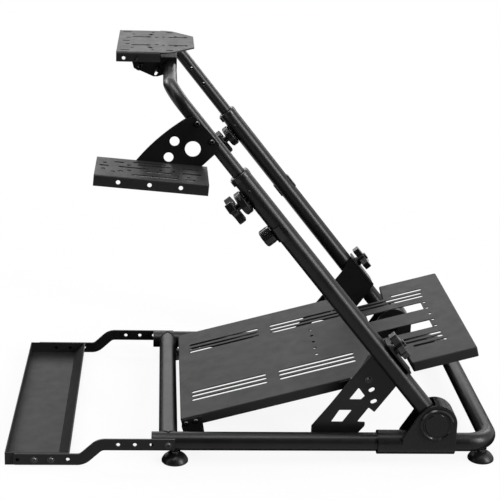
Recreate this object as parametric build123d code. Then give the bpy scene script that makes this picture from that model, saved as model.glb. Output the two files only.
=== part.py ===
from build123d import *
import math
import os

os.makedirs("parts", exist_ok=True)

# widths that follow from the pedal plate, mm
plate_half = 235.0
side_gap = 45.5
leg_y = plate_half + side_gap

# tubes
tube_r = 19.0
tube_wall = 1.5
inner_r = 13.5
inner_wall = 1.5
base_z = 45.0
leg_front_x = -208.0
rear_x = 484.0
base_bend = 48.0
cross_x = -177.0
hinge_x = 369.0
hinge_z = 88.0
lean_deg = 50.9
pivot_s = 7.2
outer_len = 654.5
collar_h = 12.0
collar_rim = 0.8
lip_h = 3.4
inner_foot = 430.0
crossbar_s = 876.0
upper_bend = 46.0

# fittings part way up the outer tubes
clip_s = outer_len - 123.0
clip_r = 17.5
clip_wall = 2.5
band_s = outer_len - 227.5
band_w = 32.0

# knobs and locks
knob_s = outer_len - 40.0
knob_ring_r = 23.7
knob_r = 29.5
knob_thick = 15.0
lobe_w = 20.5
lobe_round = 3.0
knob_neck_r = 7.5
stud_r = 4.0
lock_s = 185.0
web_t = -20.0
web_thick = 4.0
web_s0 = 128.0
web_s1 = 207.0
lug_h = 4.0
lock_t = web_t - web_thick - lug_h - 3.0
slack = 1.5

# hinge housing
sleeve_r = 24.5
sleeve_x0 = 248.0
body_len = 67.5
cheek_t = 4.5
drum_r = 42.0
drum_wall = 3.5
fold_deg = 40.0

# floor tray and its arms
tray_x0 = -503.5
tray_x1 = -374.0
tray_y = leg_y + tube_r - 0.5
tray_h = 26.5
sheet_t = 2.0
bar_h = 24.0
bar_t = 4.0
bar_up_z = 46.5
bar_low_z = 13.8
hole_pitch = 33.4
bar_x0 = -486.0
ramp_x0 = -349.0
ramp_x1 = -314.0
bar_x1 = -163.5
low_hole_x = -377.7

# feet
foot_r = 27.0
front_foot_x = -163.0
rear_foot_x = 469.0

# pedal plate
plate_x0 = -152.7
plate_z0 = 72.0
plate_len = 625.0
plate_slope = 15.25
plate_flange = 20.5
plate_bend = 3.0
slot_w = 10.5
pedal_hole_r = 4.2
hole_row = 36.0

# wheel plate and yoke
wheel_x0 = -289.0
wheel_len = 154.0
wheel_z = 808.7
wheel_t = 3.0
wheel_half = 135.0
wheel_tail = 66.0
wheel_side = 86.0
wheel_drop = 19.5
wheel_slot = 8.0
wheel_hole_r = 3.5
wheel_key_r = 5.5
tilt_x = -243.0
tilt_z = 769.0
ear_y = 60.0
bracket_y = 55.5

# gear shelf
shift_x0 = -318.8
shift_z0 = 638.4
shift_len = 207.6
shift_wide = 134.0
shift_slope = 4.5
shift_flange = 20.5
shift_slot = 8.0
bracket_t = 3.0
bracket_len = 156.0
bracket_rise = 94.0
shift_y1 = -(leg_y + inner_r + bracket_t)
shift_y0 = shift_y1 - shift_wide

place_x = -(tray_x0 + rear_x + tube_r) / 2
place_y = -(shift_y0 + 0.2 + leg_y + 30.0) / 2

lean = math.radians(lean_deg)
up_x = -math.cos(lean)
up_z = math.sin(lean)
slope = math.radians(plate_slope)
yn = -leg_y


def along(s, t=0.0):
    return (hinge_x + s * up_x - t * up_z, hinge_z + s * up_z + t * up_x)


def at(s, t=0.0, y=None):
    x, z = along(s, t)
    return (x, yn if y is None else y, z)


def rod(a, b, r):
    a = Vector(*a)
    b = Vector(*b)
    d = b - a
    return Plane(origin=a, z_dir=d.normalized()) * Cylinder(r, d.length, align=(Align.CENTER, Align.CENTER, Align.MIN))


def bent_rod(points, bend, r):
    path = FilletPolyline(*points, radius=bend)
    return sweep((path ^ 0) * Circle(r), path=path)


def pipe(points, bend, r, wall):
    return bent_rod(points, bend, r) - bent_rod(points, bend, r - wall)


def block(x0, x1, y0, y1, z0, z1):
    return Pos((x0 + x1) / 2, (y0 + y1) / 2, (z0 + z1) / 2) * Box(x1 - x0, y1 - y0, z1 - z0)


def outline(points, r=0.0):
    face = make_face(Polyline(*points, close=True))
    if r:
        face = fillet(face.vertices(), r)
    return face


def flat(shape, y0, y1):
    return extrude(Pos(0, y0, 0) * (Plane.XZ * shape), amount=y1 - y0, dir=(0, 1, 0))


def dot(x, z, r):
    return Pos(x, z) * Circle(r)


def way(x0, y0, x1, y1, w):
    turn = math.degrees(math.atan2(y1 - y0, x1 - x0))
    return Pos((x0 + x1) / 2, (y0 + y1) / 2) * Rot(0, 0, turn) * SlotCenterToCenter(math.hypot(x1 - x0, y1 - y0), w)


def save(name, shape):
    shape = Pos(place_x, place_y, 0) * shape
    shape.label = name
    export_step(shape, f"parts/{name}.step")


def mirrored(shape):
    return mirror(shape, about=Plane.XZ)


def pair(name, shape):
    save("near_" + name, shape)
    save("far_" + name, mirrored(shape))


def yrod(x, z, y0, y1, r):
    return rod((x, y0, z), (x, y1, z), r)


pivot_x, pivot_z = along(pivot_s)

# base tube, one bent length
base_path = [(leg_front_x, -leg_y, base_z), (rear_x, -leg_y, base_z), (rear_x, leg_y, base_z), (leg_front_x, leg_y, base_z)]
base_tube = pipe(base_path, base_bend, tube_r, tube_wall)
base_solid = bent_rod(base_path, base_bend, tube_r + 0.02)
for side in (-1, 1):
    base_tube -= yrod(cross_x, base_z, side * leg_y, side * (leg_y + 30), 5.2)
save("base_tube", base_tube)

# front cross tube, coped between the two legs
cross = rod((cross_x, -leg_y, base_z), (cross_x, leg_y, base_z), tube_r)
cross -= rod((cross_x, -leg_y, base_z), (cross_x, leg_y, base_z), tube_r - tube_wall)
for side in (-1, 1):
    cross -= rod((cross_x - 60, side * leg_y, base_z), (cross_x + 60, side * leg_y, base_z), tube_r + 0.01)
save("front_cross_tube", cross)

# end plugs of the two legs
plug = rod((leg_front_x - 3, yn, base_z), (leg_front_x, yn, base_z), tube_r)
plug = fillet(plug.edges().filter_by(GeomType.CIRCLE).sort_by(Axis.X)[0], 1.5)
plug += rod((leg_front_x, yn, base_z), (leg_front_x + 14, yn, base_z), tube_r - tube_wall - 0.05)
pair("end_plug", plug)


# levelling feet, turned: a rounded dome, a neck and a seat cut to the tube
def foot(x, y):
    rim = Polyline((0, 0), (foot_r - 1.5, 0), (foot_r, 1.5), (foot_r, 4.5))
    dome = ThreePointArc((foot_r, 4.5), (foot_r * 0.76, 14.0), (9.0, 20.0))
    neck = Polyline((9.0, 20.0), (7.5, 22.0), (7.5, base_z - tube_r + 1.2), (0, base_z - tube_r + 1.2), (0, 0))
    profile = make_face((rim + dome + neck).edges())
    body = revolve(Plane.XZ * profile, axis=Axis.Z)
    return Pos(x, y, 0) * body - base_solid


bend_x = rear_x - base_bend
rear_foot_y = -leg_y + base_bend - math.sqrt(base_bend**2 - (rear_foot_x - bend_x) ** 2)
pair("front_foot", foot(front_foot_x, -leg_y))
pair("rear_foot", foot(rear_foot_x, rear_foot_y))

# hinge housing: a sleeve round the base tube, two cheeks and half a barrel between them
body_x0 = pivot_x - body_len
body_x1 = pivot_x + drum_r
shoulder_z = base_z + sleeve_r - 5.0


def tangent_point(bx, bz, px, pz, r):
    dx = px - bx
    dz = pz - bz
    d = math.hypot(dx, dz)
    a = math.atan2(dz, dx) + math.asin(r / d)
    length = math.sqrt(d * d - r * r)
    return (bx + length * math.cos(a), bz + length * math.sin(a))


tx, tz = tangent_point(body_x0, shoulder_z, pivot_x, pivot_z, drum_r)
cheek_face = outline([(body_x0, base_z), (body_x1, base_z), (body_x1, pivot_z), (pivot_x, pivot_z), (tx, tz), (body_x0, shoulder_z)])
cheek_face += dot(pivot_x, pivot_z, drum_r)
cheek_in = sleeve_r - cheek_t
housing = rod((sleeve_x0, yn, base_z), (body_x1, yn, base_z), sleeve_r)
for y0 in (yn - sleeve_r, yn + cheek_in):
    cheek = flat(cheek_face, y0, y0 + cheek_t)
    outer_y = yn - sleeve_r if y0 < yn else yn + sleeve_r
    rim_edges = [e for e in cheek.edges() if abs(e.center().Y - outer_y) < 0.01 and e.center().Z > base_z + 1]
    housing += fillet(rim_edges, 1.6)
barrel_face = dot(pivot_x, pivot_z, drum_r) - dot(pivot_x, pivot_z, drum_r - drum_wall)
open_a = math.radians(95)
far_out = 3 * drum_r
barrel_face -= outline([
    (pivot_x, pivot_z), (pivot_x + far_out * math.cos(open_a), pivot_z + far_out * math.sin(open_a)),
    (pivot_x - far_out, pivot_z + far_out), (pivot_x - far_out, pivot_z - far_out), (pivot_x, pivot_z - far_out)])
back_wall = outline([(body_x1 - drum_wall, base_z), (body_x1, base_z), (body_x1, pivot_z), (body_x1 - drum_wall, pivot_z)])
front_wall = outline([(body_x0, base_z), (body_x0 + drum_wall, base_z), (body_x0 + drum_wall, shoulder_z + 2), (body_x0, shoulder_z)])
for face in (barrel_face, back_wall, front_wall):
    housing += flat(face, yn - cheek_in - 0.5, yn + cheek_in + 0.5)
housing -= rod((200, yn, base_z), (420, yn, base_z), tube_r + 0.02)
housing -= yrod(pivot_x, pivot_z, yn - 40, yn + 40, 6.0)
pair("hinge_housing", housing)

# hinge bolt and its turned cover
bolt = yrod(pivot_x, pivot_z, yn - sleeve_r - 0.5, yn + sleeve_r + 6, 5.95)
bolt_head = Pos(pivot_x, pivot_z) * RegularPolygon(10.5, 6)
bolt += flat(bolt_head, yn + sleeve_r, yn + sleeve_r + 6.5)
pair("hinge_bolt", bolt)
cap_profile = make_face(Polyline((0, 0), (35, 0), (35, 2.5), (32.5, 5.5), (30, 5.5), (27.5, 3), (25, 3), (23.5, 4.5), (0, 4.5), close=True))
cap = revolve(Plane.XZ * cap_profile, axis=Axis.Z)
cap -= Cylinder(7.0, 3.0, align=(Align.CENTER, Align.CENTER, Align.MIN))
cap = Plane(origin=(pivot_x, yn - sleeve_r, pivot_z), x_dir=(1, 0, 0), z_dir=(0, -1, 0)) * cap
pair("hinge_cap", cap)

# outer upright tube with its rounded foot on the hinge bolt
drum_half = tube_r - 0.2
outer = rod(at(pivot_s), at(outer_len), tube_r) + yrod(pivot_x, pivot_z, yn - drum_half, yn + drum_half, tube_r - 0.01)
outer -= rod(at(pivot_s + 24), at(outer_len + 40), tube_r - tube_wall)
outer -= yrod(pivot_x, pivot_z, yn - 60, yn + 60, 6.05)
outer -= rod(at(knob_s), at(knob_s, 40), stud_r + 0.2)
outer -= rod(at(lock_s), at(lock_s, -40), stud_r + 1.6)
pair("outer_tube", outer)

# bushing in the top of the outer tube
collar = rod(at(outer_len), at(outer_len + collar_h), tube_r + collar_rim)
collar = fillet(collar.edges().filter_by(GeomType.CIRCLE).sort_by(Axis.Z)[-1], 2.5)
lip = rod(at(outer_len - 3.5), at(outer_len + 8.5), tube_r + lip_h) - rod(at(outer_len - 9), at(outer_len), tube_r + 0.02)
lip_plane = Plane(origin=at(outer_len + 2.5, tube_r - 5.0), x_dir=(0, 1, 0), z_dir=(-up_z, 0, up_x))
collar += lip & (lip_plane * Box(16, 12, 12, align=(Align.CENTER, Align.CENTER, Align.MIN)))
collar += rod(at(outer_len - 56), at(outer_len), tube_r - tube_wall - 0.02)
collar -= rod(at(outer_len - 90), at(outer_len + 40), inner_r + 0.06)
collar -= rod(at(knob_s), at(knob_s, 40), stud_r + 0.3)
pair("top_bushing", collar)

# height knob and its lock ring, square to the tube
ring_plane = Plane(origin=at(knob_s, tube_r + 1.0), x_dir=(0, 1, 0), z_dir=(-up_z, 0, up_x))
ring = Cylinder(knob_ring_r, 15.0, align=(Align.CENTER, Align.CENTER, Align.MIN))
ring = chamfer(ring.edges().filter_by(GeomType.CIRCLE), 1.5)
ring = ring_plane * ring
boss = rod(at(knob_s, 12), at(knob_s, tube_r + 1.0), 10.0) - rod(at(0), at(outer_len), tube_r + 0.01)
ring = ring + boss - rod(at(knob_s, 6), at(knob_s, 60), stud_r + 0.06)
pair("lock_ring", ring)


def star(r, thick, lobes):
    body = Circle(r * 0.5)
    for k in range(lobes):
        a = 360.0 * k / lobes + 90
        body += Rot(0, 0, a) * Pos(r / 2, 0) * RectangleRounded(r, lobe_w, lobe_round)
    solid = extrude(body, amount=thick)
    ends = solid.edges().group_by(Axis.Z)
    return chamfer(ends[0] + ends[-1], 1.2)


knob_hub = rod(at(knob_s, tube_r + 17.0), at(knob_s, 44), knob_neck_r)
star_plane = Plane(origin=at(knob_s, 43), x_dir=(0, 1, 0), z_dir=(-up_z, 0, up_x))
height_knob = star_plane * star(knob_r, knob_thick, 3) + knob_hub
height_knob += rod(at(knob_s, tube_r - 4.0), at(knob_s, 44), stud_r)
pair("height_knob", height_knob)

# fittings on the outer tubes: a cable clip on one and an open band on the other
clip_low = clip_s - 21.5
clip_high = clip_s + 9.5
clip_face = outline([along(clip_low, 24), along(clip_high, 24), along(clip_high, -8), along(clip_low, -8)])
clip_face = fillet(clip_face.vertices().sort_by(lambda v: v.X * up_z - v.Y * up_x)[-2:], 12.0)
shell = rod(at(clip_low - 5), at(clip_high + 5), tube_r + clip_wall) - rod(at(clip_low - 10), at(clip_high + 9), tube_r + 0.02)
shell = shell & flat(clip_face, yn - 30, yn + 3)
clip = rod(at(clip_s, tube_r + 1.0), at(clip_s, tube_r + 23.0), clip_r)
clip = chamfer(clip.edges().filter_by(GeomType.CIRCLE).sort_by(Axis.X)[0], 1.5)
save("near_tube_clip", shell + clip)
band_open = 6.0
band = rod(at(band_s), at(band_s + band_w), tube_r + 2.2) - rod(at(band_s - 7), at(band_s + band_w + 11), tube_r + 0.02)
band -= block(-300, 500, yn + band_open, yn + 60, 300, 600)
save("far_tube_band", mirrored(band))

# upper bent tube
upper = pipe([at(inner_foot), at(crossbar_s), at(crossbar_s, 0, leg_y), at(inner_foot, 0, leg_y)], upper_bend, inner_r, inner_wall)
shelf_screws = (749.8, 794.4)
for s in shelf_screws:
    x, z = along(s)
    upper -= yrod(x, z, yn - 20, yn + 20, 3.3)
    upper -= yrod(x, z, leg_y - 20, leg_y + 20, 3.3)
save("upper_tube", upper)

# floor tray
ramp = tray_h - sheet_t
section = outline([
    (tray_x0, 0), (tray_x1 - ramp, 0), (tray_x1, tray_h), (tray_x1 - 2.6, tray_h),
    (tray_x1 - ramp - 1, sheet_t), (tray_x0 + sheet_t, sheet_t), (tray_x0 + sheet_t, tray_h), (tray_x0, tray_h)])
tray = flat(section, -tray_y, tray_y)
end_wall = flat(outline([(tray_x0, 0), (tray_x1 - ramp, 0), (tray_x1, tray_h), (tray_x0, tray_h)]), -tray_y, -tray_y + sheet_t)
tray += end_wall + mirrored(end_wall)
low_x = [low_hole_x - k * hole_pitch for k in range(4)]
up_hole_x = [cross_x - k * hole_pitch for k in range(4)]
for x in low_x[1:3]:
    tray -= yrod(x, bar_low_z, -tray_y - 20, tray_y + 20, 4.0)
save("floor_tray", tray)

# tray arms, flat bars bent round two easy corners
bar_y0 = yn - tube_r - bar_t
bar_y1 = yn - tube_r
bar = trace(FilletPolyline((bar_x0, bar_low_z), (ramp_x0, bar_low_z), (ramp_x1, bar_up_z), (bar_x1, bar_up_z), radius=26), line_width=bar_h)
bar = fillet(bar.vertices().group_by(Axis.X)[0], 4.0)
for x in low_x:
    bar -= dot(x, bar_low_z, 4.0)
for x in up_hole_x:
    bar -= dot(x, bar_up_z, 4.0)
pair("tray_arm", flat(bar, bar_y0, bar_y1))


# pedal plate, folded sheet with a notch on each side
def ped(s, n=0.0):
    return (plate_x0 + s * math.cos(slope) - n * math.sin(slope), plate_z0 + s * math.sin(slope) + n * math.cos(slope))


plate_plane = Plane(origin=(plate_x0, 0, plate_z0), x_dir=(math.cos(slope), 0, math.sin(slope)), z_dir=(-math.sin(slope), 0, math.cos(slope)))
notch_depth = 89.0
notch_y = plate_half - notch_depth
sheet_face = Pos(plate_len / 2, 0) * Rectangle(plate_len, 2 * plate_half)
for side in (-1, 1):
    bite = outline([(364, side * (plate_half + 5)), (366, side * plate_half), (407, side * notch_y), (484, side * notch_y), (488, side * plate_half), (488, side * (plate_half + 5))])
    sheet_face -= bite
near_bite = [v for v in sheet_face.vertices() if abs(abs(v.Y) - notch_y) < 0.1]
sheet_face = fillet(near_bite, 8.0)
corners = [v for v in sheet_face.vertices() if abs(abs(v.Y) - plate_half) < 0.1]
sheet_face = fillet(corners, plate_bend + 1.0)
sheet = extrude(Pos(0, 0, -plate_flange) * sheet_face, amount=plate_flange)
sheet = fillet(sheet.faces().sort_by(Axis.Z)[-1].edges(), plate_bend)
hollow_face = offset(sheet_face, amount=-sheet_t, kind=Kind.INTERSECTION)
hollow = extrude(Pos(0, 0, -plate_flange - 1) * hollow_face, amount=plate_flange + 1 - sheet_t)
sheet -= fillet(hollow.faces().sort_by(Axis.Z)[-1].edges(), 1.0)
ways = Sketch()
for side in (-1, 1):
    for y in (114, 133, 154):
        ways += way(26 + slot_w / 2, side * y, 190 - slot_w / 2, side * y, slot_w)
        ways += way(216 + slot_w / 2, side * y, 381 - slot_w / 2, side * y, slot_w)
    for y in (112, 131):
        ways += way(411 + slot_w / 2, side * y, 573 - slot_w / 2, side * y, slot_w)
    ways += way(504 + slot_w / 2, side * 154, 577 - slot_w / 2, side * 154, slot_w)
    ways += Pos(498, side * 55) * RectangleRounded(126, 44, 3)
for s in (304.7, 568.5):
    for k in (-2, -1, 0, 1, 2):
        ways += Pos(s, k * hole_row) * Circle(pedal_hole_r)
sheet -= extrude(Pos(0, 0, -6) * ways, amount=12)
pedal_plate = plate_plane * sheet
save("pedal_plate", pedal_plate)

# front legs of the pedal plate, bent plates welded to the base tube
leg_in = -plate_half
leg_x0 = plate_x0 + 3.0
leg_x1 = leg_x0 + 42.0
leg_face = outline([(leg_x0 + 6, 37), (leg_x1 + 6, 37), ped(leg_x1 - plate_x0, -3.0), ped(3.0, -3.0), (leg_x0, 56)])
front_leg = flat(leg_face, leg_in - 3.2, leg_in - 0.2)
front_leg += block(leg_x0 + 6, leg_x1 + 6, yn + 5, leg_in - 0.2, 37, 40)
front_leg -= rod((-260, yn, base_z), (260, yn, base_z), tube_r + 0.02)
for s in (10, 30):
    x, z = ped(s, -plate_flange / 2)
    front_leg -= yrod(x, z, leg_in - 5, leg_in + 5, 2.7)
pair("pedal_leg", front_leg)

# locking struts: a pierced side plate and a web that stands behind the upright
strut_t = 3.0
strut_y0 = yn + tube_r + slack
strut_y1 = strut_y0 + strut_t
strut_face = outline([
    (115, 34), (213, 34), (213, 57), (224, 70), (225, 78.5), (208, 79.3), (230.5, 111.5), (242.8, 101.4), (282.6, 156.8),
    along(web_s0 - 5, web_t - web_thick), along(web_s1, web_t - web_thick), along(206, -6), along(196, 16), (176.1, 152.6), (150.9, 117.1), (115, 70)], 2.0)
strut_face -= outline([(154.4, 79), (178.4, 79), (196.8, 105.9), (170.6, 105.8)], 1.5)
strut_face -= outline([(189.2, 128.7), (214.1, 128.8), (221.6, 136.5), (207.8, 155.2)], 1.5)
strut_face -= way(232.6, 149.4, 236.4, 151.8, 8.7)
strut_face -= way(237.8, 124, 242.4, 126, 8.7)
hanger_x = 226.8
hanger_z = 173.5
strut_face -= dot(hanger_x, hanger_z, 3.3)
strut = flat(strut_face, strut_y0, strut_y1)
for x in (135, 193):
    strut += yrod(x, base_z, yn + tube_r + 0.02, strut_y0, 8.0)
strut -= base_solid
slat = Plane(origin=at(0, web_t, 0), x_dir=(0, 1, 0), z_dir=(up_z, 0, -up_x))
web_y0 = yn - tube_r
web_face = Pos((web_y0 + strut_y1) / 2, (web_s0 + web_s1) / 2) * RectangleRounded(strut_y1 - web_y0, web_s1 - web_s0, 6.0)
web_hole = Pos(yn, lock_s) * Circle(stud_r + 0.3)
web = slat * extrude(web_face - web_hole, amount=web_thick)
grown = slat * extrude(Pos(0, 0, -0.02) * offset(web_face, amount=0.02), amount=web_thick + 0.04)
strut -= grown
pair("strut", strut)
nut = Pos(yn, lock_s, web_thick) * extrude(Circle(11) - Circle(stud_r + 0.3), amount=lug_h)
web += slat * nut
pair("lock_lug", web)
lock_plane = Plane(origin=at(lock_s, lock_t), x_dir=(0, 1, 0), z_dir=(up_z, 0, -up_x))
lock_knob = lock_plane * star(knob_r, knob_thick, 3)
lock_knob += rod(at(lock_s, lock_t - knob_thick + 1), at(lock_s, lock_t - knob_thick - 4), 8.0)
lock_knob += rod(at(lock_s, lock_t + 2.7), at(lock_s, lock_t - 1), 10.0)
lock_knob += rod(at(lock_s, -12), at(lock_s, lock_t - 1), stud_r)
pair("lock_knob", lock_knob)

# rear hangers of the pedal plate, from the strut to the plate's flange
hang_face = outline([(193, 162.5), (241, 162.5), (241, 184), (212, 184), (193, 170)], 2.0)
hang_face -= dot(hanger_x, hanger_z, 3.3)
hang = flat(hang_face, strut_y1 + 0.02, strut_y1 + 3.0)
tab_face = outline([ped(334, -18.5), ped(360, -18.5), ped(360, -2.5), ped(334, -2.5)], 2.0)
hang += flat(tab_face, leg_in - 3.2, leg_in - 0.2)
hang += block(193, 196, strut_y1 + 0.02, leg_in - 0.2, 151, 168)
pair("pedal_hanger", hang)


# gear shelf: upright bracket and pierced platform
def shelf(a, b):
    return (-246.7 + a * bracket_len, 631.0 + b * bracket_rise)


shift_a = math.radians(shift_slope)


def under(x):
    return (x, shift_z0 - (x - shift_x0) * math.tan(shift_a) - sheet_t)


foot_a = under(shelf(0, 0)[0])
foot_b = under(shelf(0.79, 0)[0])
bracket_edge = Polyline(foot_a, foot_b, shelf(0.955, 0.16), shelf(1.01, 0.36), shelf(0.88, 0.61), shelf(0.70, 0.93), shelf(0.58, 0.87))
bracket_back = ThreePointArc(shelf(0.58, 0.87), shelf(0.28, 0.49), foot_a)
bracket_face = make_face((bracket_edge + bracket_back).edges())
bracket_face = fillet([v for v in bracket_face.vertices() if v.Y > 650], 5.0)
bracket_face -= dot(*shelf(0.687, 0.263), 15.0)
bracket_face -= dot(*shelf(0.466, 0.416), 9.2)
bracket_face -= dot(*shelf(0.397, 0.087), 9.2)
for s in shelf_screws:
    bracket_face -= dot(*along(s), 3.3)
save("shifter_bracket", flat(bracket_face, shift_y1, shift_y1 + bracket_t))

shift_plane = Plane(origin=(shift_x0, shift_y1, shift_z0), x_dir=(math.cos(shift_a), 0, -math.sin(shift_a)), z_dir=(math.sin(shift_a), 0, math.cos(shift_a)))
shelf_face = Pos(shift_len / 2, -shift_wide / 2) * Rectangle(shift_len, shift_wide - 0.4)
shelf_body = extrude(Pos(0, 0, -shift_flange) * shelf_face, amount=shift_flange)
bend_edge = shelf_body.edges().filter_by(Axis.X).sort_by(lambda e: e.center().Y - e.center().Z)[0]
shelf_body = fillet(bend_edge, 3.0)
inside = Pos(shift_len / 2, -shift_wide / 2 + sheet_t, -shift_flange / 2 - sheet_t) * Box(shift_len + 2, shift_wide - 0.4, shift_flange)
inside = fillet(inside.edges().filter_by(Axis.X).sort_by(lambda e: e.center().Y - e.center().Z)[0], 1.0)
shelf_body -= inside
shelf_ways = Sketch()
for x0, y0, x1, y1 in (
        (10, 59, 21, 59), (37, 27, 48, 27), (45, 59, 50, 59), (45, 91, 48, 91), (56, 59, 94, 59), (71, 19, 126, 19),
        (80, 36, 135, 36), (93, 79, 138, 79), (71, 110, 150, 110), (161, 34, 187, 34), (162, 69, 191, 69), (168, 111, 180, 111)):
    shelf_ways += way(x0, -y0, x1, -y1, shift_slot)
for x, y in ((16, 38), (15, 82), (33, 97), (61, 43), (62, 81), (143, 61), (150, 92), (171, 96), (120, 59)):
    shelf_ways += Pos(x, -y) * Circle(shift_slot / 2)
shelf_body -= extrude(Pos(0, 0, -5) * shelf_ways, amount=10)
for k in range(3):
    x = shift_len * 0.5 + (k - 1) * 56.4 - 3.0
    shelf_body -= Pos(x, -shift_wide, -shift_flange / 2) * Rot(90, 0, 0) * Cylinder(4.0, 12)
save("shifter_platform", shift_plane * shelf_body)

# wheel yoke on the crossbar, two ears joined by a web
top_x, top_z = along(crossbar_s)
ear_face = outline([
    (-255, 775), (-249, 761.5), (-216.3, 747.4), (-207.4, 747.6), (-196.3, 751.3), (top_x + 14, 752), (top_x + 14, 787), (top_x - 18.5, 787), (top_x - 18.5, 779),
    (-232, 779)], 2.0)
ear_face -= dot(top_x, top_z, inner_r + 0.02)
ear_face -= dot(tilt_x, tilt_z, 3.55)
ear_face -= way(tilt_x + 31, tilt_z - 17, tilt_x + 35, tilt_z - 10, 5.0)
yoke = Part()
for side in (-1, 1):
    ear = flat(ear_face, side * ear_y if side > 0 else -ear_y - 3, side * ear_y + 3 if side > 0 else -ear_y)
    yoke += ear
    pad = block(top_x - 18.5, top_x + 14, min(side * (ear_y + 3), side * (ear_y + 8)), max(side * (ear_y + 3), side * (ear_y + 8)), 753, 786)
    yoke += pad - yrod(top_x, top_z, -ear_y - 20, ear_y + 20, inner_r + 0.02)
yoke += block(top_x - 18.5, top_x + 14, -ear_y, ear_y, 783.5, 786.5)
save("wheel_yoke", yoke)
tilt_bolt = yrod(tilt_x, tilt_z, -ear_y - 3, ear_y + 3, 3.5)
for side in (-1, 1):
    head = Pos(tilt_x, tilt_z) * Circle(6.5)
    y0 = side * (ear_y + 3.0)
    tilt_bolt += flat(head, min(y0, y0 + side * 3.5), max(y0, y0 + side * 3.5))
save("tilt_bolt", tilt_bolt)

# wheel plate: pierced sheet with two bent sides and two brackets under it
wheel_x1 = wheel_x0 + wheel_len
wheel_face = outline([
    (0, -wheel_half), (106, -wheel_half), (wheel_len, -wheel_tail), (wheel_len, wheel_tail), (106, wheel_half), (0, wheel_half)])
wheel_face = fillet([v for v in wheel_face.vertices() if abs(v.X - 106) < 1], 34.0)
wheel_face = fillet([v for v in wheel_face.vertices() if abs(v.X - wheel_len) < 1], 9.0)
wheel_face = fillet([v for v in wheel_face.vertices() if v.X < 1], 2.0)
for side in (-1, 1):
    for x0, y0, x1, y1 in (
            (11, 112, 22, 112), (19, 40, 21, 40), (31, 50, 61, 50), (64, 75, 68, 84), (78, 45, 79, 45), (105, 48.5, 136, 51.5), (101, 110, 108, 110)):
        wheel_face -= way(x0, side * y0, x1, side * y1, wheel_slot)
    for x, y in ((30, 82), (70.5, 107), (92, 50), (117, 60)):
        wheel_face -= Pos(x, side * y) * Circle(wheel_hole_r)
    wheel_face -= Pos(61, side * 50) * Circle(wheel_key_r + 0.8)
    wheel_face -= Pos(137, side * 51.5) * Circle(wheel_key_r)
wheel_face -= way(11, 0, 20, 0, wheel_slot)
wheel = Pos(wheel_x0, 0, wheel_z - wheel_t) * extrude(wheel_face, amount=wheel_t)
side_profile = Rectangle(20, wheel_drop, align=(Align.MAX, Align.MAX))
side_profile = fillet(side_profile.vertices().sort_by(lambda v: v.X + v.Y)[-1], 5.0)
side_hole = Pos(-wheel_t, -wheel_t) * Rectangle(20, wheel_drop, align=(Align.MAX, Align.MAX))
side_profile -= fillet(side_hole.vertices().sort_by(lambda v: v.X + v.Y)[-1], 2.0)
bent_side = Plane(origin=(wheel_x0, wheel_half, wheel_z), x_dir=(0, 1, 0), z_dir=(1, 0, 0)) * extrude(side_profile, amount=wheel_side)
strip = block(wheel_x0 - 1, wheel_x0 + wheel_side, wheel_half - 8, wheel_half + 1, wheel_z - 5, wheel_z + 1)
wheel = wheel - strip - mirrored(strip) + bent_side + mirrored(bent_side)
wheel -= yrod(wheel_x0 + 14.6, wheel_z - 12.4, -wheel_half - 5, wheel_half + 5, wheel_hole_r)
side_way = way(wheel_x0 + 36.3, wheel_z - 15.5, wheel_x0 + 40.1, wheel_z - 9.7, 6.0)
wheel -= flat(side_way, -wheel_half - 5, wheel_half + 5)
lug_face = outline([(-268, wheel_z - 1), (-256, 763), (-247, 757.5), (-232, 759), (-216, 778), (-216, wheel_z - 1)])
lug_face = fillet([v for v in lug_face.vertices() if v.Y < 780], 4.0)
lug_face -= dot(tilt_x, tilt_z, 3.7)
for side in (-1, 1):
    y0 = side * bracket_y
    wheel += flat(lug_face, min(y0, y0 + side * 2), max(y0, y0 + side * 2))
save("wheel_plate", wheel)
print("ok")
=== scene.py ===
import math

import bmesh
import bpy
from mathutils import Matrix, Vector


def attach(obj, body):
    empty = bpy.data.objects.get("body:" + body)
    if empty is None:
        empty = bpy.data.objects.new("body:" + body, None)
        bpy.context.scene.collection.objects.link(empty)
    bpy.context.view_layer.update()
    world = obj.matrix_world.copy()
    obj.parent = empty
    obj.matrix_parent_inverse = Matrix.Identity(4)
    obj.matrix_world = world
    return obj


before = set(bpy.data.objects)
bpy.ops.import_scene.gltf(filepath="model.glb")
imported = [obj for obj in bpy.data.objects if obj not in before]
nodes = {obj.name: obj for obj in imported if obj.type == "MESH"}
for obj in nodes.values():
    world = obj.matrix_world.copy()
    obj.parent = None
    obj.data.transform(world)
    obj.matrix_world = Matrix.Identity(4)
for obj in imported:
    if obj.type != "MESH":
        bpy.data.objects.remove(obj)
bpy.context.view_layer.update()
scene = bpy.context.scene
scene.view_settings.view_transform = "Standard"
print("frame loaded,", len(nodes), "nodes")

# drawn sizes have an origin of their own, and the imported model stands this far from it, in metres
shiftX = 0.00025
shiftY = 0.06015


def place(x, y, z):
    # a drawn point in millimetres becomes a scene point in metres
    return Vector((x / 1000 + shiftX, y / 1000 + shiftY, z / 1000))


def addObject(name, data):
    obj = bpy.data.objects.new(name, data)
    scene.collection.objects.link(obj)
    return obj


def addNode(tree, kind, inputs=None, **settings):
    # each input takes a socket, a list of sockets or a plain value
    node = tree.nodes.new(kind)
    for key, value in settings.items():
        setattr(node, key, value)
    for target, given in (inputs or {}).items():
        for source in given if isinstance(given, list) else [given]:
            if isinstance(source, bpy.types.NodeSocket):
                tree.links.new(source, node.inputs[target])
            else:
                node.inputs[target].default_value = source
    return node


def calc(tree, operation, a, b, **settings):
    return addNode(tree, "ShaderNodeMath", {0: a, 1: b}, operation=operation, **settings).outputs[0]


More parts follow.
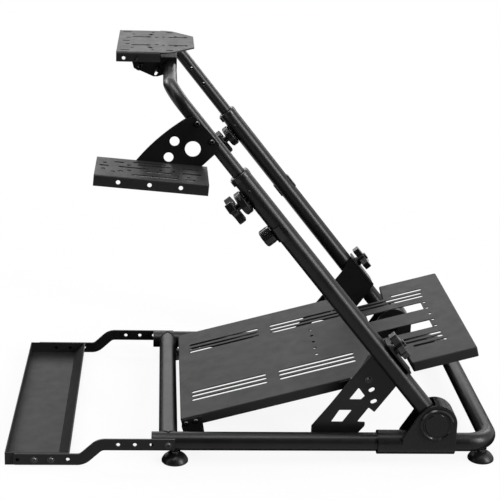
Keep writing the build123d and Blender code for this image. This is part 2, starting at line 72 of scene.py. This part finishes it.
# camera at the photograph's angle, in degrees and metres, with its lens and sensor in millimetres
cameraSet = {
    "where": (-0.20184, -2.80912, 1.28427),
    "yaw": 3.928,
    "pitch": 17.772,
    "roll": -1.931,
    "lens": 101.09,
    "sensor": 36,
    "farthest": 60,
}


def makeCamera(c):
    yaw, pitch, roll = (math.radians(c[key]) for key in ("yaw", "pitch", "roll"))
    ahead = Vector((math.sin(yaw) * math.cos(pitch), math.cos(yaw) * math.cos(pitch), -math.sin(pitch)))
    level = Vector((math.cos(yaw), -math.sin(yaw), 0))
    down = ahead.cross(level)
    right = level * math.cos(roll) + down * math.sin(roll)
    up = -(down * math.cos(roll) - level * math.sin(roll))
    data = bpy.data.cameras.new("camera")
    data.lens = c["lens"]
    data.sensor_width = c["sensor"]
    data.clip_end = c["farthest"]
    camera = addObject("camera", data)
    turn = Matrix((right, up, -ahead)).transposed().to_4x4()
    camera.matrix_world = Matrix.Translation(Vector(c["where"])) @ turn
    scene.camera = camera


makeCamera(cameraSet)
print("camera placed")

# studio in metres and watts: pale floor, white surround, soft boxes and cards
studio = {
    "fillLevel": 0.13,
    "floorSize": 14.0,
    "floorGrey": 0.76,
    # how far a seen floor turns to plain white: this much near the stand, all of it far out
    "floorGlow": 0.90,
    "glowNear": 0.7,
    "glowFar": 1.9,
    "boxes": [
        # name, place, aim, width, height, watts
        ("boxTop", (-0.5, -0.4, 3.2), (0.0, 0.0, 0.4), 2.4, 1.3, 66),
        ("boxLeft", (-3.0, -1.4, 1.9), (0.0, 0.0, 0.5), 1.0, 2.2, 7),
        ("boxRight", (2.9, -1.9, 1.75), (0.2, 0.0, 0.4), 0.6, 2.4, 150),
        ("boxBack", (-0.2, 3.4, 1.52), (0.0, 0.0, 0.4), 3.6, 1.5, 19),
        ("boxRearLeft", (-2.4, 2.4, 2.5), (0.0, 0.0, 0.4), 1.3, 1.3, 45),
        ("boxRearRight", (2.4, 2.6, 2.5), (0.0, 0.0, 0.4), 1.3, 1.3, 36),
    ],
    # met by mirrored rays alone, the cards keep the tubes' middles and flanks deep
    "cards": [
        # name, first corner, its two edges, how bright it looks
        ("frontCard", (-2.5, -1.5, 0.0), (5.0, 0.0, 0.0), (0.0, 0.0, 2.6), 0.0),
        ("leftCard", (-3.6, 5.0, 0.0), (0.0, -6.0, 0.0), (0.0, 0.0, 3.0), 0.0),
        ("backCard", (3.0, 3.0, 0.0), (-6.4, 0.0, 0.0), (0.0, 0.0, 0.7), 0.0),
        # a black sheet under the stand, seen only in reflections: painted shadow of the stand on the floor
        # beneath it
        ("underCard", (-0.9, -0.24, 0.0004), (1.8, 0.0, 0.0), (0.0, 0.8, 0.0), 0.0),
        ("greyCard", (-1.6, -1.5, 0.0004), (3.2, 0.0, 0.0), (0.0, 1.26, 0.0), 0.55),
    ],
}


def newMaterial(name):
    mat = bpy.data.materials.new(name)
    mat.use_nodes = True
    return mat, mat.node_tree, mat.node_tree.nodes["Principled BSDF"]


def addQuad(name, corner, wide, deep, mat):
    a, u, v = Vector(corner), Vector(wide), Vector(deep)
    mesh = bpy.data.meshes.new(name)
    mesh.from_pydata([a, a + u, a + u + v, a + v], [], [(0, 1, 2, 3)])
    mesh.materials.append(mat)
    return addObject(name, mesh)


def whiteRays(tree):
    # 1 for seen, mirrored and looked-through rays, which meet plain white, and 0 for the rest
    path = addNode(tree, "ShaderNodeLightPath").outputs
    seen = calc(tree, "ADD", path["Is Camera Ray"], path["Is Glossy Ray"])
    return calc(tree, "ADD", seen, path["Is Transmission Ray"], use_clamp=True)


def mixSurface(tree, output, share, first, second):
    # shows the first shader where share is 0 and the second where it is 1
    mix = addNode(tree, "ShaderNodeMixShader", {0: share, 1: first.outputs[0], 2: second.outputs[0]})
    tree.links.new(mix.outputs[0], tree.nodes[output].inputs["Surface"])


def makeSurround(s):
    world = bpy.data.worlds.new("surround")
    scene.world = world
    world.use_nodes = True
    tree = world.node_tree
    fill = tree.nodes["Background"]
    fill.inputs["Color"].default_value = (1, 1, 1, 1)
    fill.inputs["Strength"].default_value = s["fillLevel"]
    white = addNode(tree, "ShaderNodeBackground", {"Color": (1, 1, 1, 1), "Strength": 1.0})
    mixSurface(tree, "World Output", whiteRays(tree), fill, white)


def makeFloor(s):
    mat, tree, shader = newMaterial("paleFloor")
    tree.nodes.remove(shader)
    grey = s["floorGrey"]
    matte = addNode(tree, "ShaderNodeBsdfDiffuse", {"Color": (grey, grey, grey, 1)})
    glow = addNode(tree, "ShaderNodeEmission", {"Strength": 1.0})
    coords = addNode(tree, "ShaderNodeTexCoord")
    reach = addNode(tree, "ShaderNodeVectorMath", {0: coords.outputs["Object"]}, operation="LENGTH")
    fade = addNode(tree, "ShaderNodeMapRange", {
        "Value": reach.outputs["Value"], "From Min": s["glowNear"], "From Max": s["glowFar"],
        "To Min": s["floorGlow"], "To Max": 1.0})
    share = calc(tree, "MULTIPLY", whiteRays(tree), fade.outputs[0])
    mixSurface(tree, "Material Output", share, matte, glow)
    size = s["floorSize"]
    addQuad("floor", (-size / 2, -size / 2, 0), (size, 0, 0), (0, size, 0), mat)


def makeBoxes(boxes):
    for name, where, aim, width, height, watts in boxes:
        data = bpy.data.lights.new(name, "AREA")
        data.shape = "RECTANGLE"
        data.size = width
        data.size_y = height
        data.energy = watts
        lamp = addObject(name, data)
        lamp.location = where
        lamp.rotation_euler = (Vector(aim) - Vector(where)).to_track_quat("-Z", "Y").to_euler()


def makeCards(cards):
    for name, corner, wide, deep, level in cards:
        mat, _, shader = newMaterial(name)
        shader.inputs["Base Color"].default_value = (0, 0, 0, 1)
        shader.inputs["Specular IOR Level"].default_value = 0
        shader.inputs["Emission Color"].default_value = (1, 1, 1, 1)
        shader.inputs["Emission Strength"].default_value = level
        card = addQuad(name, corner, wide, deep, mat)
        card.visible_camera = False
        card.visible_diffuse = False
        card.visible_shadow = False
        card.visible_transmission = False


makeSurround(studio)
makeFloor(studio)
makeBoxes(studio["boxes"])
makeCards(studio["cards"])
print("studio lit")

# finishes: base grey from dark to pale, gloss, fine grain, and the width of a shaded edge in metres
finishes = {
    "powderBlack": {
        "dark": 0.004, "pale": 0.007, "rough": 0.33, "roughSpread": 0.04,
        "grain": 1500, "bump": 0.12, "specular": 0.30, "metal": 0.0, "edge": 0.0007,
    },
    "plateBlack": {
        "dark": 0.010, "pale": 0.014, "rough": 0.46, "roughSpread": 0.05,
        "grain": 1300, "bump": 0.16, "specular": 0.17, "metal": 0.0, "edge": 0.0003,
    },
    "mouldedBlack": {
        "dark": 0.004, "pale": 0.007, "rough": 0.30, "roughSpread": 0.05,
        "grain": 2200, "bump": 0.08, "specular": 0.28, "metal": 0.0, "edge": 0.0008,
    },
    "gripBlack": {
        "dark": 0.004, "pale": 0.007, "rough": 0.22, "roughSpread": 0.04,
        "grain": 2200, "bump": 0.05, "specular": 0.46, "metal": 0.0, "edge": 0.0003,
    },
    "glossBlack": {
        "dark": 0.004, "pale": 0.006, "rough": 0.18, "roughSpread": 0.02,
        "grain": 900, "bump": 0.01, "specular": 0.30, "metal": 0.0, "edge": 0.0004,
    },
    "rubberBlack": {
        "dark": 0.005, "pale": 0.009, "rough": 0.36, "roughSpread": 0.06,
        "grain": 1800, "bump": 0.08, "specular": 0.30, "metal": 0.0, "edge": 0.0006,
    },
    "oxideBolt": {
        "dark": 0.06, "pale": 0.09, "rough": 0.22, "roughSpread": 0.05,
        "grain": 2600, "bump": 0.03, "specular": 0.50, "metal": 1.0, "edge": 0.0003,
    },
}

# what all finishes share: a slow cloud of tone, patches of gloss and the depth of the grain
finishPattern = {
    "cloud": {"Scale": 9, "Detail": 4, "Roughness": 0.55},
    "cloudFrom": 0.35,
    "cloudTo": 0.68,
    "darkBlue": 1.04,
    "paleBlue": 1.03,
    "patches": {"Scale": 34, "Detail": 5, "Roughness": 0.65},
    "patchFrom": 0.3,
    "patchTo": 0.7,
    "grain": {"Detail": 2, "Roughness": 0.55},
    "grainDepth": 0.0004,
    "edgeSamples": 6,
}


def makeFinish(name, f, p):
    mat, tree, shader = newMaterial(name)
    shader.inputs["Specular IOR Level"].default_value = f["specular"]
    shader.inputs["Metallic"].default_value = f["metal"]
    where = addNode(tree, "ShaderNodeTexCoord").outputs["Object"]

    def noise(settings):
        return addNode(tree, "ShaderNodeTexNoise", {"Vector": where, **settings}).outputs["Fac"]

    tone = addNode(tree, "ShaderNodeValToRGB", {0: noise(p["cloud"])})
    low, high = tone.color_ramp.elements
    low.position = p["cloudFrom"]
    high.position = p["cloudTo"]
    low.color = (f["dark"], f["dark"], f["dark"] * p["darkBlue"], 1)
    high.color = (f["pale"], f["pale"], f["pale"] * p["paleBlue"], 1)
    gloss = addNode(tree, "ShaderNodeMapRange", {
        "Value": noise(p["patches"]), "From Min": p["patchFrom"], "From Max": p["patchTo"],
        "To Min": f["rough"] - f["roughSpread"], "To Max": f["rough"] + f["roughSpread"]})
    edge = addNode(tree, "ShaderNodeBevel", {"Radius": f["edge"]}, samples=p["edgeSamples"])
    bump = addNode(tree, "ShaderNodeBump", {
        "Strength": f["bump"], "Distance": p["grainDepth"],
        "Height": noise({"Scale": f["grain"], **p["grain"]}), "Normal": edge.outputs[0]})
    tree.links.new(tone.outputs[0], shader.inputs["Base Color"])
    tree.links.new(gloss.outputs[0], shader.inputs["Roughness"])
    tree.links.new(bump.outputs[0], shader.inputs["Normal"])
    return mat


mats = {name: makeFinish(name, f, finishPattern) for name, f in finishes.items()}

# which nodes take which finish, without near and far; the rest are powder coated
nodeFinish = {
    "plateBlack": ["pedal_plate", "wheel_plate", "shifter_platform", "floor_tray"],
    "mouldedBlack": ["hinge_housing", "end_plug"],
    "gripBlack": ["lock_ring", "height_knob", "lock_knob", "top_bushing", "tube_clip", "tube_band"],
    "rubberBlack": ["front_foot", "rear_foot"],
    "glossBlack": ["hinge_cap"],
    "oxideBolt": ["hinge_bolt", "tilt_bolt"],
}


def dressNodes():
    byKind = {kind: finish for finish, kinds in nodeFinish.items() for kind in kinds}
    for name, obj in nodes.items():
        kind = name.replace("near_", "").replace("far_", "")
        mat = mats[byKind.get(kind, "powderBlack")]
        for slot in obj.material_slots:
            slot.material = mat
        if not obj.material_slots:
            obj.data.materials.append(mat)


dressNodes()
print("finishes on", len(nodes), "nodes")

# what the small pieces line up with, in millimetres and degrees; legY, plateHalf, strutOut, strutIn,
# armOut and shelfSide are distances from the stand's middle plane
design = {
    "legY": 280.5,
    "tubeRadius": 19.0,
    "baseZ": 45.0,
    "crossX": -177.0,
    "hinge": (369.0, 88.0),
    "lean": 50.9,
    "plateStart": (-152.7, 72.0),
    "plateSlope": 15.25,
    "plateHalf": 235.0,
    "strutOut": 260.0,
    "strutIn": 257.0,
    "armOut": 303.5,
    "shelfStart": (-318.8, 638.4),
    "shelfSlope": 4.5,
    "shelfSide": 297.0,
    "feet": [(-163.0, 280.5), (469.0, 267.36)],  # X, how far out
}


def along(s, t=0.0):
    # X and Z at s up the upright's axis and t towards the driver
    lean = math.radians(design["lean"])
    x0, z0 = design["hinge"]
    upX, upZ = -math.cos(lean), math.sin(lean)
    return x0 + s * upX - t * upZ, z0 + s * upZ + t * upX


def onPlate(s, n=0.0):
    # X and Z at s up the pedal plate and n above its face
    a = math.radians(design["plateSlope"])
    x0, z0 = design["plateStart"]
    return x0 + s * math.cos(a) - n * math.sin(a), z0 + s * math.sin(a) + n * math.cos(a)


def onShelf(s, n=0.0):
    # X and Z at s along the shelf from its driver's end and n above its face
    a = math.radians(design["shelfSlope"])
    x0, z0 = design["shelfStart"]
    return x0 + s * math.cos(a) + n * math.sin(a), z0 - s * math.sin(a) + n * math.cos(a)


hexagon = 6  # sides of a nut and of a screw's socket


def newTree(name, piece):
    # a node group that asks for points, the piece's values by name and a finish
    tree = bpy.data.node_groups.new(name, "GeometryNodeTree")
    tree.interface.new_socket("Geometry", in_out="INPUT", socket_type="NodeSocketGeometry")
    for group, kind in (("sizes", "Float"), ("shares", "Float"), ("counts", "Int")):
        for label in piece.get(group, {}):
            tree.interface.new_socket(label, in_out="INPUT", socket_type="NodeSocket" + kind)
    tree.interface.new_socket("Finish", in_out="INPUT", socket_type="NodeSocketMaterial")
    tree.interface.new_socket("Geometry", in_out="OUTPUT", socket_type="NodeSocketGeometry")
    return tree, tree.nodes.new("NodeGroupInput").outputs


def treeValues(piece, finish, scale=1.0):
    # sizes go from millimetres to metres, and shares and counts stay as they are
    values = {label: size * scale / 1000 for label, size in piece["sizes"].items()}
    return {**values, **piece.get("shares", {}), **piece.get("counts", {}), "Finish": mats[finish]}


def cylinder(tree, radius, depth, sides):
    return addNode(tree, "GeometryNodeMeshCylinder", {
        "Radius": radius, "Depth": depth, "Vertices": sides}).outputs["Mesh"]


def lifted(tree, source, height):
    shift = addNode(tree, "ShaderNodeCombineXYZ", {"Z": height}).outputs[0]
    return addNode(tree, "GeometryNodeTransform", {"Geometry": source, "Translation": shift}).outputs[0]


def onPoints(tree, points, shape, **turns):
    # the shape on each point, with the Rotation or Scale that is given
    inputs = {"Points": points, "Instance": shape, **turns}
    return addNode(tree, "GeometryNodeInstanceOnPoints", inputs).outputs[0]


def aimed(tree, points, shape):
    # the shape on each point, its Z turned to the point's own aim
    aim = addNode(tree, "GeometryNodeInputNamedAttribute", {"Name": "aim"}, data_type="FLOAT_VECTOR")
    way = {"Vector": aim.outputs["Attribute"]}
    turn = addNode(tree, "FunctionNodeAlignRotationToVector", way, axis="Z")
    return onPoints(tree, points, shape, Rotation=turn.outputs[0])


def endTree(tree, instances, finish, smooth=False):
    # real copies in their finish
    shape = addNode(tree, "GeometryNodeRealizeInstances", {0: instances})
    if smooth:
        shape = addNode(tree, "GeometryNodeSetShadeSmooth", {0: shape.outputs[0]})
    dressed = addNode(tree, "GeometryNodeSetMaterial", {"Geometry": shape.outputs[0], "Material": finish})
    out = tree.nodes.new("NodeGroupOutput")
    tree.links.new(dressed.outputs[0], out.inputs[0])
    return tree


def pointMesh(name, points, aims):
    mesh = bpy.data.meshes.new(name)
    mesh.from_pydata([place(*p) for p in points], [], [])
    aim = mesh.attributes.new("aim", "FLOAT_VECTOR", "POINT")
    for i, a in enumerate(aims):
        aim.data[i].vector = a
    return mesh


def bake(name, mesh, tree, values, body):
    # runs the node group on the mesh, keeps its result as a plain mesh and rides it on the body
    carrier = addObject(name + "Carrier", mesh)
    mod = carrier.modifiers.new("repeat", "NODES")
    mod.node_group = tree
    for item in tree.interface.items_tree:
        if item.in_out == "INPUT" and item.name in values:
            mod[item.identifier] = values[item.name]
    bpy.context.view_layer.update()
    result = carrier.evaluated_get(bpy.context.evaluated_depsgraph_get())
    shape = bpy.data.meshes.new_from_object(result)
    shape.name = name
    carrier.modifiers.remove(mod)
    bpy.data.objects.remove(carrier)
    made = addObject(name, shape)
    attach(made, body)


# screws in millimetres: button heads with a hexagon socket, on washers
screwSet = {
    "sizes": {
        "Head Radius": 5.6, "Head Height": 3.4, "Socket Radius": 2.5, "Socket Depth": 1.9,
        "Washer Radius": 7.4, "Washer Height": 0.9,
    },
    "rimShare": 0.4,  # of the head's height, straight below its crown
    "crownShare": 0.66,  # of the head's radius, left at the crown's top
    "sides": 32,  # of each round
    "runs": {
        # name: size against the values above, body, finish
        "baseScrews": (1.0, "base", "oxideBolt"),
        "legScrews": (0.82, "base", "oxideBolt"),
        "shelfScrews": (0.9, "upper", "oxideBolt"),
        "yokeScrews": (0.86, "upper", "oxideBolt"),
        "tubeScrews": (0.5, "uprights", "gripBlack"),
    },
    # places, the same on both sides but for the shelf's: X and Z where no other word is given
    "trayArm": [(-411.1, 13.8), (-444.5, 13.8)],
    "crossTubeZ": 46.5,
    "strutBaseX": [135, 193],
    "hanger": (226.8, 173.5),
    "pedalLeg": {"upPlate": [10, 30], "below": 10.25, "outFromPlate": 3.2},
    "shelfUpTube": [749.8, 794.4],
    "yoke": [(-243, 66.4, 769), (-206.6, 62.9, 762.3)],  # X, how far out, Z
    "tube": {"upTube": 630, "towardsDriver": 3, "outFromAxis": 18.2},
}


def makeScrewTree(s):
    tree, g = newTree("screwRun", s)
    sides, rimShare = s["sides"], s["rimShare"]
    washer = cylinder(tree, g["Washer Radius"], g["Washer Height"], sides)
    washerUp = lifted(tree, washer, calc(tree, "MULTIPLY", g["Washer Height"], 0.5))
    rimHeight = calc(tree, "MULTIPLY", g["Head Height"], rimShare)
    rim = cylinder(tree, g["Head Radius"], rimHeight, sides)
    rimMiddle = calc(tree, "MULTIPLY", rimHeight, 0.5)
    rimUp = lifted(tree, rim, calc(tree, "ADD", g["Washer Height"], rimMiddle))
    crownTop = calc(tree, "MULTIPLY", g["Head Radius"], s["crownShare"])
    crownHeight = calc(tree, "MULTIPLY", g["Head Height"], 1 - rimShare)
    crown = addNode(tree, "GeometryNodeMeshCone", {
        "Radius Bottom": g["Head Radius"], "Radius Top": crownTop, "Depth": crownHeight, "Vertices": sides})
    crownUp = lifted(tree, crown.outputs["Mesh"], calc(tree, "ADD", g["Washer Height"], rimHeight))
    # the socket's cutter stands half in the head and half above it
    cutter = cylinder(tree, g["Socket Radius"], calc(tree, "MULTIPLY", g["Socket Depth"], 2.0), hexagon)
    cutterUp = lifted(tree, cutter, calc(tree, "ADD", g["Washer Height"], g["Head Height"]))
    head = addNode(tree, "GeometryNodeMeshBoolean", {
        "Mesh 2": [rimUp, crownUp]}, operation="UNION", solver="EXACT")
    cut = addNode(tree, "GeometryNodeMeshBoolean", {
        "Mesh 1": head.outputs["Mesh"], "Mesh 2": cutterUp}, operation="DIFFERENCE", solver="EXACT")
    screw = addNode(tree, "GeometryNodeJoinGeometry", {0: [cut.outputs["Mesh"], washerUp]})
    return endTree(tree, aimed(tree, g["Geometry"], screw.outputs[0]), g["Finish"])


def screwPlaces(s):
    # each run's screws, as places and the way their heads face along Y
    runs = {name: [] for name in s["runs"]}

    def put(run, x, y, z, way):
        runs[run].append(((x, y, z), (0, way, 0)))

    for side in (-1, 1):
        for x, z in s["trayArm"] + [(design["crossX"], s["crossTubeZ"])]:
            put("baseScrews", x, side * design["armOut"], z, side)
        for x in s["strutBaseX"]:
            put("baseScrews", x, side * design["strutIn"], design["baseZ"], -side)
        put("baseScrews", s["hanger"][0], side * design["strutOut"], s["hanger"][1], side)
        leg = s["pedalLeg"]
        for up in leg["upPlate"]:
            x, z = onPlate(up, -leg["below"])
            put("legScrews", x, side * (design["plateHalf"] + leg["outFromPlate"]), z, side)
    for up in s["shelfUpTube"]:
        x, z = along(up)
        put("shelfScrews", x, -design["shelfSide"], z, -1)
    for x, half, z in s["yoke"]:
        for side in (-1, 1):
            put("yokeScrews", x, side * half, z, side)
    tube = s["tube"]
    x, z = along(tube["upTube"], tube["towardsDriver"])
    for side in (-1, 1):
        for way in (-1, 1):
            put("tubeScrews", x, side * design["legY"] + way * tube["outFromAxis"], z, way)
    return runs


def setScrews(s):
    tree = makeScrewTree(s)
    runs = screwPlaces(s)
    for name, (scale, body, finish) in s["runs"].items():
        points, aims = zip(*runs[name])
        bake(name, pointMesh(name + "Points", points, aims), tree, treeValues(s, finish, scale), body)
    print("screws set:", sum(len(run) for run in runs.values()))


setScrews(screwSet)

# welds in millimetres: a run of small flattened beads along each seam
weldSet = {
    "sizes": {"Pitch": 2.6, "Bead Radius": 1.9},
    "shares": {"Flatten": 0.62, "Smallest": 0.86, "Largest": 1.1},
    "counts": {"Seed": 4},
    "roundness": 2,
    # round each end of the cross tube, where it meets the base tube
    "saddle": {"steps": 48, "aroundX": 0.4, "aroundZ": 0.2, "offTube": 0.4},
    # where the web behind the upright meets the side plate: from and to up the tube, and off its axis
    "strut": {"from": 132, "to": 203, "offAxis": -20.4},
    # where the pedal leg's foot meets the base tube: the seam's ends, how far out, height
    "pedalLeg": {"fromX": -140, "toX": -104, "out": 262.4, "z": 40.2},
}


def makeWeldTree(w):
    tree, g = newTree("weldRun", w)
    curve = addNode(tree, "GeometryNodeMeshToCurve", {"Mesh": g["Geometry"]})
    steps = addNode(tree, "GeometryNodeCurveToPoints", {
        "Curve": curve.outputs[0], "Length": g["Pitch"]}, mode="LENGTH")
    bead = addNode(tree, "GeometryNodeMeshIcoSphere", {
        "Radius": g["Bead Radius"], "Subdivisions": w["roundness"]})
    vary = addNode(tree, "FunctionNodeRandomValue", {"Seed": g["Seed"]}, data_type="FLOAT")
    # the node has a Min, a Max and a result for each kind of number, and the plain ones are meant
    low, high = [i for i in vary.inputs if i.name in ("Min", "Max") and i.type == "VALUE"][:2]
    size = [o for o in vary.outputs if o.type == "VALUE"][0]
    tree.links.new(g["Smallest"], low)
    tree.links.new(g["Largest"], high)
    shape = addNode(tree, "ShaderNodeCombineXYZ", {
        "X": size, "Y": size, "Z": calc(tree, "MULTIPLY", g["Flatten"], size)})
    run = onPoints(tree, steps.outputs["Points"], bead.outputs["Mesh"],
                   Rotation=steps.outputs["Rotation"], Scale=shape.outputs[0])
    return endTree(tree, run, g["Finish"], smooth=True)


def weldSeams(w):
    saddle, strut, leg = w["saddle"], w["strut"], w["pedalLeg"]
    r, seams = design["tubeRadius"], []
    for side in (-1, 1):
        ring = []
        for k in range(saddle["steps"] + 1):
            a = 2 * math.pi * k / saddle["steps"]
            x = design["crossX"] + (r + saddle["aroundX"]) * math.sin(a)
            y = side * (design["legY"] - r * abs(math.sin(a)) - saddle["offTube"])
            ring.append((x, y, design["baseZ"] + (r + saddle["aroundZ"]) * math.cos(a)))
        seams.append(ring)
        ends = [along(strut[end], strut["offAxis"]) for end in ("from", "to")]
        seams.append([(x, side * design["strutIn"], z) for x, z in ends])
        seams.append([(x, side * leg["out"], leg["z"]) for x in (leg["fromX"], leg["toX"])])
    return seams


def seamMesh(name, seams):
    mesh = bpy.data.meshes.new(name)
    points, edges = [], []
    for seam in seams:
        first = len(points)
        points += [place(*p) for p in seam]
        edges += [(first + i, first + i + 1) for i in range(len(seam) - 1)]
    mesh.from_pydata(points, edges, [])
    return mesh


def runWelds(w):
    seams = weldSeams(w)
    values = treeValues(w, "powderBlack")
    bake("welds", seamMesh("weldSeams", seams), makeWeldTree(w), values, "base")
    print("welds run:", len(seams))


runWelds(weldSet)

# a nut and washer in millimetres, where each foot's stud enters the tube
nutSet = {
    "sizes": {"Nut Radius": 10.4, "Nut Height": 2.9, "Washer Radius": 11.0, "Washer Height": 0.8},
    "washerSides": 28,
    "low": 22.0,  # Z of the nuts' undersides
}


def makeNutTree(n):
    tree, g = newTree("nutRun", n)
    nutMiddle = calc(tree, "MULTIPLY", g["Nut Height"], 0.5)
    nut = lifted(tree, cylinder(tree, g["Nut Radius"], g["Nut Height"], hexagon), nutMiddle)
    washerMiddle = calc(tree, "ADD", calc(tree, "MULTIPLY", g["Washer Height"], 0.5), g["Nut Height"])
    washer = cylinder(tree, g["Washer Radius"], g["Washer Height"], n["washerSides"])
    both = addNode(tree, "GeometryNodeJoinGeometry", {0: [nut, lifted(tree, washer, washerMiddle)]})
    return endTree(tree, onPoints(tree, g["Geometry"], both.outputs[0]), g["Finish"])


def setNuts(n):
    points = [(x, side * y, n["low"]) for side in (-1, 1) for x, y in design["feet"]]
    mesh = pointMesh("footNutPoints", points, [(0, 0, 1)] * len(points))
    bake("footNuts", mesh, makeNutTree(n), treeValues(n, "oxideBolt"), "base")
    print("foot nuts set:", len(points))


setNuts(nutSet)

# grip ribs in millimetres round the lock rings and the clip's barrel, with each ring's middle in the
# upright's own s and t, and the sides that it is on
ribSet = {
    "ringRibs": {
        "sizes": {"Ring Radius": 23.7, "Rib Radius": 0.6, "Rib Length": 11.0},
        "counts": {"Ribs": 44},
        "ribSides": 8,
        "middle": (614.5, 27.5),
        "sides": (-1, 1),
    },
    "clipRibs": {
        "sizes": {"Ring Radius": 17.5, "Rib Radius": 0.6, "Rib Length": 16.0},
        "counts": {"Ribs": 32},
        "ribSides": 8,
        "middle": (531.5, 32.0),
        "sides": (-1,),
    },
}


def makeRibTree(piece):
    tree, g = newTree("ribRing", piece)
    circle = addNode(tree, "GeometryNodeMeshCircle", {"Vertices": g["Ribs"], "Radius": g["Ring Radius"]})
    rib = cylinder(tree, g["Rib Radius"], g["Rib Length"], piece["ribSides"])
    ring = onPoints(tree, circle.outputs["Mesh"], rib)
    whole = addNode(tree, "GeometryNodeRealizeInstances", {0: ring})
    return endTree(tree, aimed(tree, g["Geometry"], whole.outputs[0]), g["Finish"])


def setRibs(rings):
    (x0, z0), (x1, z1) = along(0, 0), along(0, 1)
    outward = (x1 - x0, 0, z1 - z0)
    for name, ring in rings.items():
        x, z = along(*ring["middle"])
        points = [(x, side * design["legY"], z) for side in ring["sides"]]
        mesh = pointMesh(name + "Points", points, [outward] * len(points))
        bake(name, mesh, makeRibTree(ring), treeValues(ring, "gripBlack"), "uprights")
    print("grip ribs set")


setRibs(ribSet)

# the shelf's edge beside the upright in millimetres, folded down, its two lower corners rounded
flangeSet = {
    "length": 207.6,
    "inset": 4.0,
    "top": -1.9,
    "low": -18.5,
    "offSide": 0.3,
    "thick": 1.9,
    "corner": 6.0,
    "cornerSteps": 6,
}


def flangeEdge(f):
    # its outline, along the shelf and above its face
    left, right, r, steps = f["inset"], f["length"] - f["inset"], f["corner"], f["cornerSteps"]
    edge = [(left, f["top"])]
    for middle, first in ((left + r, 180), (right - r, 270)):
        for k in range(steps + 1):
            turn = math.radians(first + 90 / steps * k)
            edge.append((middle + r * math.cos(turn), f["low"] + r + r * math.sin(turn)))
    edge.append((right, f["top"]))
    return edge


def makeFlange(f):
    edge = flangeEdge(f)
    bm = bmesh.new()
    rows = []
    for out in (f["offSide"], f["offSide"] + f["thick"]):
        spots = [onShelf(s, n) for s, n in edge]
        rows.append([bm.verts.new(place(x, -design["shelfSide"] - out, z)) for x, z in spots])
    inner, outer = rows
    bm.faces.new(inner)
    bm.faces.new(list(reversed(outer)))
    for i in range(len(edge)):
        j = (i + 1) % len(edge)
        bm.faces.new((inner[i], outer[i], outer[j], inner[j]))
    bmesh.ops.recalc_face_normals(bm, faces=bm.faces)
    mesh = bpy.data.meshes.new("shelfBackFlange")
    bm.to_mesh(mesh)
    bm.free()
    mesh.materials.append(mats["plateBlack"])
    flange = addObject("shelfBackFlange", mesh)
    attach(flange, "upper")
    print("shelf flange made")


makeFlange(flangeSet)
